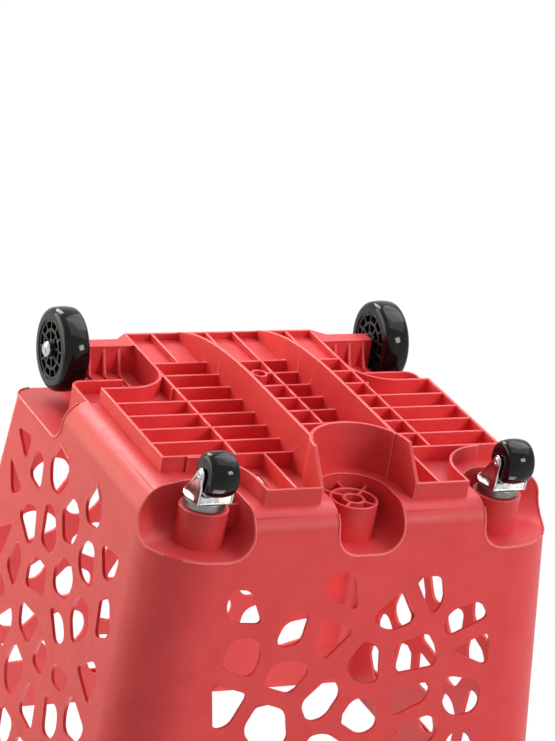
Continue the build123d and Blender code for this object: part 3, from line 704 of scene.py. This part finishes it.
def near_object(tree):
    """One near the object, falling to nothing further out."""
    place = tree.nodes.new("ShaderNodeTexCoord")
    away = tree.nodes.new("ShaderNodeVectorMath")
    away.operation = "LENGTH"
    tree.links.new(place.outputs["Object"], away.inputs[0])
    fade = tree.nodes.new("ShaderNodeMapRange")
    fade.interpolation_type = "SMOOTHSTEP"
    for socket, value in (("From Min", FADE_FROM), ("From Max", FADE_TO), ("To Min", 1.0), ("To Max", 0.0)):
        fade.inputs[socket].default_value = value
    tree.links.new(away.outputs["Value"], fade.inputs["Value"])
    return fade.outputs["Result"]


def pale_floor():
    """Pale floor that only a camera above it sees."""
    material = bpy.data.materials.new("floor_pale")
    material.use_nodes = True
    tree = material.node_tree
    tree.nodes.clear()
    output = tree.nodes.new("ShaderNodeOutputMaterial")
    matt = tree.nodes.new("ShaderNodeBsdfDiffuse")
    matt.inputs["Color"].default_value = (0.86, 0.86, 0.86, 1)
    plain_white = tree.nodes.new("ShaderNodeEmission")
    clear = tree.nodes.new("ShaderNodeBsdfTransparent")
    geometry = tree.nodes.new("ShaderNodeNewGeometry")
    path = tree.nodes.new("ShaderNodeLightPath")
    above = combined(tree, "SUBTRACT", path.outputs["Is Camera Ray"], geometry.outputs["Backfacing"])
    seen = combined(tree, "MULTIPLY", above, near_object(tree))
    ground = mixed(tree, 0.5, matt.outputs["BSDF"], plain_white.outputs["Emission"])
    tree.links.new(mixed(tree, seen, clear.outputs["BSDF"], ground), output.inputs["Surface"])
    return material


print("floor fades from", FADE_FROM, "to", FADE_TO, "m")

# %% [markdown]
# One large square at the height of the wheels' feet is enough, because the finish hides its edges.

# %% Floor
FLOOR_REACH = 3.0
corners = [(x * FLOOR_REACH, y * FLOOR_REACH, 0) for x, y in ((-1, -1), (1, -1), (1, 1), (-1, 1))]
floor_mesh = bpy.data.meshes.new("floor")
floor_mesh.from_pydata(corners, [], [(0, 1, 2, 3)])
floor_mesh.materials.append(pale_floor())
floor = bpy.data.objects.new("floor", floor_mesh)
scene.collection.objects.link(floor)
print("floor", 2 * FLOOR_REACH, "m square")

# %% [markdown]
# The background is white for the camera and in every reflection, and a dimmer fill for the rest of the light.
# One strength for all would either grey the picture or wash out the object, so the kind of ray chooses.

# %% Background
FILL = 0.24
world = bpy.data.worlds.new("studio")
scene.world = world
world.use_nodes = True
tree = world.node_tree
tree.nodes.clear()
output = tree.nodes.new("ShaderNodeOutputWorld")
shown = tree.nodes.new("ShaderNodeBackground")
shown.inputs["Strength"].default_value = 1.0
shown.inputs["Color"].default_value = (1, 1, 1, 1)
fill = tree.nodes.new("ShaderNodeBackground")
fill.inputs["Strength"].default_value = FILL
fill.inputs["Color"].default_value = (1, 1, 1, 1)
path = tree.nodes.new("ShaderNodeLightPath")
white = path.outputs["Is Camera Ray"]
for ray in ("Is Glossy Ray", "Is Transmission Ray"):
    white = combined(tree, "MAXIMUM", white, path.outputs[ray])
tree.links.new(mixed(tree, white, fill.outputs["Background"], shown.outputs["Background"]),
               output.inputs["Surface"])
print("background white, fill", FILL)

# %% [markdown]
# ## Light
# Soft boxes as in a small studio. One broad box hangs over the upturned base and draws the rib tips, and a
# second one beside it shows in the gloss alone, where it makes the pale band on the black treads. One behind
# the base makes the glare along the foot of the side wall. A smaller one beside the camera gives the treads
# their square glint. Two warmer boxes light the side and the front from either hand, which leaves the corner
# between them in shade, and the last one shines into the open basket.

# %% Lamps
WARM = (1.0, 0.94, 0.68)
COOL = (0.95, 0.86, 1.0)
GLINT = (1.0, 0.96, 0.88)
LAMP_TARGET = Vector((0, 0, 0.06))


def soft_box(name, direction, distance, size, power, colour=(1, 1, 1), gloss_alone=False):
    """Square lamp that looks at the base of the basket from a direction."""
    lamp = bpy.data.lights.new(name, "AREA")
    lamp.shape = "SQUARE"
    lamp.size = size
    lamp.energy = power
    lamp.color = colour
    holder = bpy.data.objects.new(name, lamp)
    scene.collection.objects.link(holder)
    toward = Vector(direction).normalized()
    holder.location = LAMP_TARGET + toward * distance
    holder.rotation_euler = toward.to_track_quat("Z", "Y").to_euler()
    holder.visible_diffuse = not gloss_alone
    print(name, [round(v, 2) for v in holder.location], power, "W")


soft_box("base_box", (-0.40, 0.0, -0.90), 1.5, 1.5, 14.5, COOL)
soft_box("band_box", (-0.46, 0.32, -0.80), 1.5, 1.2, 12.0, gloss_alone=True)
soft_box("rear_box", (0.14, 0.80, -0.52), 1.8, 0.8, 23.0)
soft_box("glint_box", (-0.46, -0.78, -0.43), 2.2, 0.5, 17.0, GLINT)
soft_box("side_box", (0.80, 0.60, -0.15), 2.0, 1.6, 30.0, WARM)
soft_box("front_box", (-0.62, -0.76, 0.20), 2.2, 2.0, 3.5, WARM)
soft_box("top_box", (-0.05, -0.45, 1.25), 2.6, 1.6, 60.0)
